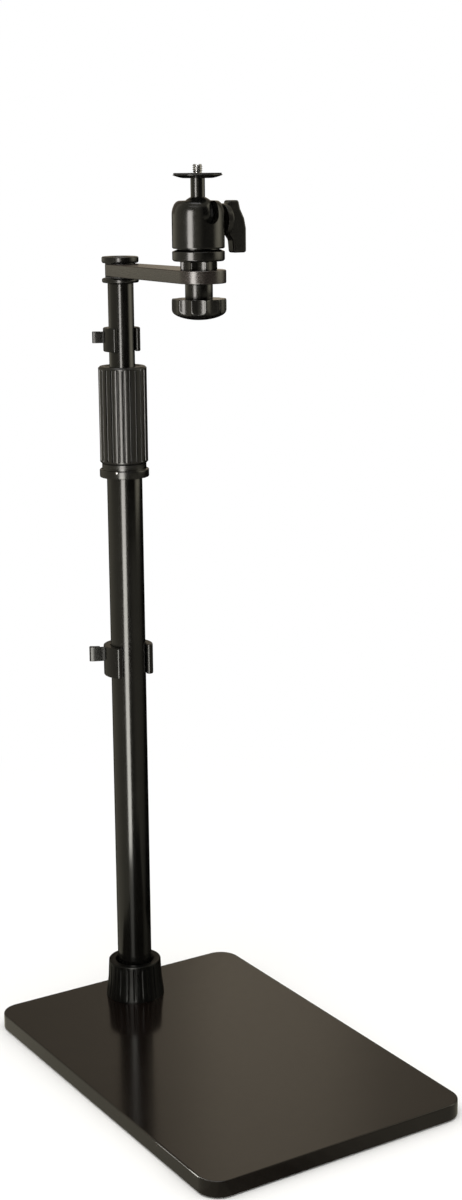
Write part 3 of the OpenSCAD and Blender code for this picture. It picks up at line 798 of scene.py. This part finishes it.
def make_lock_screw():
    """The locking screw: a round bar along X with softened ends."""
    low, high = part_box("lock_screw")
    length, r, middle = high.x - low.x, (high.z - low.z) / 2, (low + high) / 2
    lever_edge, ball_edge = 0.4 * MM, 0.3 * MM
    bm = bmesh.new()
    add_lathe(bm, rounded([(0, 0), (r, 0, lever_edge), (r, length, ball_edge), (0, length)]), segments=48)
    bm.transform(Matrix.Translation((low.x, middle.y, middle.z)) @ Matrix.Rotation(QUARTER, 4, "Y"))
    dress(finish_mesh(bm, "lock_bolt"), "lock_screw")


def make_lock_lever():
    """A flat round hub with a wing across it, which leans out towards its lower end."""
    low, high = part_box("lock_lever")
    screw_low, screw_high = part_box("lock_screw")
    axis_y = (screw_low.y + screw_high.y) / 2
    axis_z = (screw_low.z + screw_high.z) / 2
    hub_r, hub_h, hub_dome = 10.25 * MM, 4.2 * MM, 0.4 * MM
    hub_foot_edge, hub_edge = 0.5 * MM, 1.0 * MM
    width, edge, corner_r, fold_r, longer = 8 * MM, 1.5 * MM, 1.6 * MM, 2.2 * MM, 1 * MM
    reach = high.x - low.x - hub_h
    up, down = high.z - axis_z, axis_z - low.z + longer
    outer = [(0.56, up), (0.66, 0.55 * up), (0.9, 0.05 * up), (1, -0.27 * down), (1, -down)]
    inner = [(0.26, -down), (0.2, -0.62 * down), (0, -0.45 * down), (0, up)]
    radii = [corner_r] * len(outer) + [corner_r, fold_r, corner_r, corner_r]
    corners = [(share * reach, z, radius) for (share, z), radius in zip(outer + inner, radii)]
    # The corners run clockwise, and a slab's outline runs the other way.
    outline = rounded(corners, 6)[::-1]
    # The outline is drawn in X and Z and raised along Y.
    stand = Matrix.Translation((low.x + hub_h, axis_y, axis_z)) @ Matrix.Rotation(QUARTER, 4, "X")
    wing = slab("lever_wing", outline, -width / 2, width / 2, edge, edge, 5, stand)
    bm = bmesh.new()
    add_lathe(bm, rounded([
        (0, 0), (hub_r, 0, hub_foot_edge), (hub_r, hub_h, hub_edge), (0, hub_h + hub_dome)]))
    bm.transform(Matrix.Translation((low.x, axis_y, axis_z)) @ Matrix.Rotation(QUARTER, 4, "Y"))
    hub = finish_mesh(bm, "lever_hub")
    boolean(hub, wing, "UNION")
    hub.name = "lock_wing"
    even(hub)
    dress(hub, "lock_lever")


def make_ball():
    """A ball with a flat-bottomed hole in its top, which the stem stands in."""
    ball = Place("ball")
    stem = Place("ball_stem")
    hole_r, hole_low = stem.r + FIT, stem.low - FIT
    centre = (0, ball.low + ball.r)
    top = math.acos(hole_r / ball.r)
    profile = [around(centre, ball.r, a) for a in evenly(-QUARTER, top, 40)]
    profile[0] = (0, profile[0][1])
    profile += [(hole_r, hole_low), (0, hole_low)]
    dress(lathe("head_ball", profile, ball.axis), "ball")


def make_stem():
    stem = Place("ball_stem")
    dress(lathe("stem_rod", bar(stem.r, stem.low, stem.high), stem.axis, 64), "ball_stem")


def make_platform():
    """A thin disc whose underside rises from a flat foot to a fine rim."""
    disc = Place("platform_disc")
    flat_r, foot_r, slope, curve, rim, steps = 7.5 * MM, 8.5 * MM, 1.9 * MM, 1.6, 0.15 * MM, 12
    under = [(foot_r + (disc.r - foot_r) * k / steps, disc.low + slope * (k / steps) ** curve)
             for k in range(1, steps)]
    profile = rounded(
        [(0, disc.low), (flat_r, disc.low)] + under
        + [(disc.r, disc.low + slope, rim), (disc.r, disc.high, rim), (0, disc.high)])
    dress(lathe("platform_plate", profile, disc.axis, 128), "platform_disc")


def make_pad():
    """A rubber ring with round grooves in its face."""
    pad = Place("platform_pad")
    hole, groove, groove_edge, edge = 3.6 * MM, 0.3 * MM, 0.05 * MM, 0.25 * MM
    grooves, first, step = 5, 5.6 * MM, 1.9 * MM
    profile = [(hole, pad.low), (pad.r, pad.low), (pad.r, pad.high, edge)]
    for i in reversed(range(grooves)):
        r = first + i * step
        profile += [(r + groove, pad.high, groove_edge), (r, pad.high - groove),
                    (r - groove, pad.high, groove_edge)]
    profile += [(hole, pad.high, edge)]
    dress(lathe("platform_rubber", rounded(profile, 3), pad.axis, 128), "platform_pad")


def make_mount_screw():
    """A quarter-inch screw: a bare shank under a thread that is cut into the bar as a helix."""
    screw = Place("mount_screw")
    shank_r, shank_h, bevel = 2.6 * MM, 3.1 * MM, 0.6 * MM
    pitch, depth, rings_a_turn = 1.27 * MM, 0.55 * MM, 14
    crest, flank, start = 1.4, 4, 0.2
    low, high = screw.low + shank_h, screw.high - bevel
    count = int((high - low) / pitch * rings_a_turn)
    profile = [(0, screw.low), (shank_r, screw.low), (shank_r, low - HAIR)]
    profile += [(screw.r, z) for z in evenly(low, high, count)]
    profile += [(screw.r - bevel, screw.high), (0, screw.high)]

    def relief(angle, r, z):
        if r < screw.r - HAIR:
            return r
        phase = (z / pitch - angle / TURN) % 1
        ridge = min(1, max(0, crest - abs(phase - 0.5) * flank))
        grown = min(1, (z - low) / pitch + start)
        return r - depth * (1 - ridge * grown)

    dress(lathe("threaded_screw", profile, screw.axis, 64, relief), "mount_screw")


def make_pieces():
    make_base_plate()
    make_rubber_feet()
    make_base_collar()
    make_tube("lower_tube", "outer_tube", wall=1.5 * MM)
    make_tube("upper_tube", "inner_tube", wall=1.2 * MM)
    make_cable_clip("lower_cable_clip", "lower_clip", "lower_tube",
                    wall=5.2 * MM, hook_reach=10.3 * MM, hook_h=10.5 * MM, hook_drop=2 * MM)
    make_cable_clip("upper_cable_clip", "upper_clip", "upper_tube",
                    wall=3.9 * MM, hook_reach=7.6 * MM, hook_h=8 * MM, hook_drop=2.8 * MM)
    make_lock_ring()
    make_lock_grip()
    make_flange()
    make_cap()
    make_swing_arm()
    make_spacer()
    make_neck()
    make_pan_base()
    make_clamp_knob()
    make_housing()
    make_lock_screw()
    make_lock_lever()
    make_ball()
    make_stem()
    make_platform()
    make_pad()
    make_mount_screw()
    # The nodes that no piece replaces stay in sight as they are, and get their materials here.
    for node, obj in frame["nodes"].items():
        if not obj.hide_render:
            obj.data.materials.clear()
            obj.data.materials.append(MATERIALS[SLOT_OF[node]])


# Camera, floor and light

PHOTO_W, PHOTO_H = 462, 1200
FOCAL_PX = 1896.9
CENTRE_PX = (234.2, 590.7)
EYE = Vector((-0.6440, -1.0449, 0.6167))
YAW, PITCH, ROLL = 0.56301, 0.21939, -0.00863

# Rays that carry the picture itself, not the light that falls on things.
SEEN = ("Is Camera Ray", "Is Glossy Ray", "Is Transmission Ray")

FLOOR_SHADE_R = 0.25
FLOOR_PLAIN_R = 0.75


def make_camera():
    ahead = Vector((math.sin(YAW) * math.cos(PITCH), math.cos(YAW) * math.cos(PITCH), -math.sin(PITCH)))
    level = Vector((math.cos(YAW), -math.sin(YAW), 0))
    plumb = level.cross(ahead)
    right = math.cos(ROLL) * level + math.sin(ROLL) * plumb
    up = -math.sin(ROLL) * level + math.cos(ROLL) * plumb
    data = bpy.data.cameras.new("camera")
    data.sensor_width = 36
    data.lens = FOCAL_PX / PHOTO_H * data.sensor_width
    data.shift_x = (PHOTO_W / 2 - CENTRE_PX[0]) / PHOTO_H
    data.shift_y = (CENTRE_PX[1] - PHOTO_H / 2) / PHOTO_H
    camera = bpy.data.objects.new("camera", data)
    turn = Matrix((right, up, -ahead)).transposed().to_4x4()
    camera.matrix_world = Matrix.Translation(EYE) @ turn
    bpy.context.scene.collection.objects.link(camera)
    bpy.context.scene.camera = camera


def seen_rays(nodes, links):
    """A number that is 1 for the rays in SEEN and 0 for others."""
    path = nodes.new("ShaderNodeLightPath")
    total = path.outputs[SEEN[0]]
    for kind in SEEN[1:]:
        total = math_node(nodes, links, "MAXIMUM", total, path.outputs[kind])
    return total


def make_world(ambient):
    """A white backdrop. The light that falls from it on things has a strength of its own."""
    world = bpy.data.worlds.new("world")
    world.use_nodes = True
    bpy.context.scene.world = world
    nodes, links = world.node_tree.nodes, world.node_tree.links
    backdrop = nodes["Background"]
    backdrop.inputs["Color"].default_value = (1, 1, 1, 1)
    backdrop.inputs["Strength"].default_value = 1.0
    soft = nodes.new("ShaderNodeBackground")
    soft.inputs["Color"].default_value = (1, 0.99, 0.97, 1)
    soft.inputs["Strength"].default_value = ambient
    show_mix(nodes, links, "World Output", seen_rays(nodes, links), soft.outputs[0], backdrop.outputs[0])


def make_floor():
    """Pale paper near the object, which runs into plain white further out."""
    size = 8.0
    bm = bmesh.new()
    bm.faces.new([bm.verts.new((x * size, y * size, 0)) for x, y in ((-1, -1), (1, -1), (1, 1), (-1, 1))])
    floor = finish_mesh(bm, "floor")
    paint = Paint("floor_paper", roughness=0.9, specular=0.0)
    nodes, links = paint.nodes, paint.links
    paint.colour(paint.ramp(paint.noise(0.4), *NOISE_SPAN, (0.9, 0.9, 0.895), (0.915, 0.915, 0.91)))
    length = nodes.new("ShaderNodeVectorMath")
    length.operation = "LENGTH"
    links.new(paint.where, length.inputs[0])
    far = paint.ramp(length.outputs["Value"], FLOOR_SHADE_R, FLOOR_PLAIN_R, 0.0, 1.0)
    share = math_node(nodes, links, "MULTIPLY", far, seen_rays(nodes, links))
    white = nodes.new("ShaderNodeEmission")
    white.inputs["Color"].default_value = (1, 1, 1, 1)
    white.inputs["Strength"].default_value = 1.0
    show_mix(nodes, links, "Material Output", share, paint.shader.outputs[0], white.outputs[0])
    floor.data.materials.append(paint.material)


def make_overhead():
    """A large soft lamp above and in front of the object."""
    place, target = Vector((-0.5, -0.4, 2.4)), Vector((0, 0, 0))
    data = bpy.data.lights.new("overhead", "AREA")
    data.shape = "RECTANGLE"
    data.size, data.size_y = 2.2, 2.2
    data.energy = 27
    data.color = (1, 0.99, 0.97)
    light = bpy.data.objects.new("overhead", data)
    light.location = place
    light.rotation_euler = (target - place).to_track_quat("-Z", "Y").to_euler()
    light.visible_camera = False
    bpy.context.scene.collection.objects.link(light)


def emitter(name, tint):
    """A card's material, which glows at each point with the strength that the mesh has there."""
    material = bpy.data.materials.new(name)
    material.use_nodes = True
    nodes, links = material.node_tree.nodes, material.node_tree.links
    nodes.clear()
    level = nodes.new("ShaderNodeAttribute")
    level.attribute_name = "glow"
    glow = nodes.new("ShaderNodeEmission")
    glow.inputs["Color"].default_value = (*tint, 1)
    links.new(level.outputs["Fac"], glow.inputs["Strength"])
    links.new(glow.outputs[0], nodes.new("ShaderNodeOutputMaterial").inputs["Surface"])
    return material


def card(name, centre, ends, tint, stops):
    """A card round centre, seen in gloss alone: it lights nothing and shades nothing, and paints a
    reflection, bright or dark, on glossy surfaces.

    Ends are the (radius, height) of its two edges. Stops are (degrees, strength), where 0 degrees is
    towards -Y and 90 towards +X.
    """
    step = 4
    bm = bmesh.new()
    glow = bm.verts.layers.float.new("glow")
    rows = []
    for (start, first), (end, last) in zip(stops, stops[1:]):
        steps = max(1, math.ceil((end - start) / step))
        for k in range(1 if rows else 0, steps + 1):
            angle = math.radians(start + (end - start) * k / steps)
            row = []
            for radius, z in ends:
                place = (centre[0] + radius * math.sin(angle), centre[1] - radius * math.cos(angle), z)
                row.append(bm.verts.new(place))
                row[-1][glow] = first + (last - first) * k / steps
            rows.append(row)
    for a, b in zip(rows, rows[1:]):
        bm.faces.new([a[0], b[0], b[1], a[1]])
    obj = finish_mesh(bm, name)
    obj.data.materials.append(emitter(name, tint))
    obj.visible_camera = False
    obj.visible_diffuse = False
    obj.visible_shadow = False
    obj.visible_transmission = False


def make_stage():
    """Floor, light and the cards: painted reflections of a dim room all round, seen in gloss alone, and
    bright strips beside pole and head that paint highlights.
    """
    make_world(0.87)
    make_floor()
    make_overhead()

    middle, near, far = (0, 0.07), 0.05, 1.7
    lift, split, back, top, hole_r = 0.0005, 0.42, 0.62, 2.2, 0.6
    olive, warm = (1, 0.94, 0.74), (1, 0.86, 0.66)
    # Glow strengths by angle of the painted reflections all round: where a strength is 0, the cards paint a
    # dark reflection.
    low_painted_reflection = (
        (-155, 0.4), (-130, 0.55), (-94, 0.45), (-60, 0.42), (-30, 0.38), (-20, 0.15), (-11, 0.1),
        (2, 0.25), (16, 0.35), (47, 0.3), (65, 0.2), (87, 0), (180, 0), (195, 0.4), (205, 0.4))
    high_painted_reflection = (
        (-155, 0.85), (-148, 0.8), (-135, 0.6), (-125, 0.5), (-92, 0.42), (-60, 0.4), (-30, 0.4),
        (-20, 0.2), (-10, 0), (36, 0), (42, 0.5), (50, 1.7), (68, 2.1), (85, 0.7), (100, 0.1), (105, 0))
    low_back = ((105, 0), (178, 0), (186, 0.7), (205, 0.85))
    high_back = (
        (105, 0.27), (134, 0.35), (137.5, 0.4), (141, 0.66), (147, 0.72), (149.5, 0.48), (153, 0.33),
        (160, 0.28), (205, 0.27))
    card("reflection_floor", middle, ((near, lift), (far, lift)), olive, low_painted_reflection)
    card("reflection_low", middle, ((far, 0), (far, split)), olive, low_painted_reflection)
    card("reflection_high", middle, ((far, split), (far, top)), olive, high_painted_reflection)
    card("reflection_back", middle, ((far, split), (far, back)), olive, low_back)
    card("reflection_sky", middle, ((far, back), (far, top)), warm, high_back)
    card("reflection_top", middle, ((hole_r, top), (far, top)), olive, ((-155, 0.4), (205, 0.4)))

    pole, grey, strip_r, strip_foot_r = Place("lower_tube").axis, (1, 0.98, 0.9), 0.25, 0.215
    strip_top, strip_lift = 0.46, 0.0007
    # The pole strips glow in gloss alone and paint the highlight down the pole.
    card("pole_strip", pole, ((strip_r, 0), (strip_r, strip_top)), grey, ((-51.5, 12.5), (-29.5, 12.5)))
    card("pole_strip_foot", pole, ((strip_foot_r, strip_lift), (strip_r, strip_lift)), grey,
         ((-51.5, 11), (-32, 11)))

    head, cream = Place("clamp_stud").axis, (1, 0.96, 0.91)
    head_r, head_low, head_high = 0.151, 0.36, 0.64
    # The head strip glows in gloss alone and paints the highlights on the head.
    card("head_strip", head, ((head_r, head_low), (head_r, head_high)), cream,
         ((-75.5, 11.5), (-54.5, 11.5)))


make_materials()
make_camera()
make_pieces()
make_stage()

bpy.context.scene.view_settings.view_transform = "Standard"
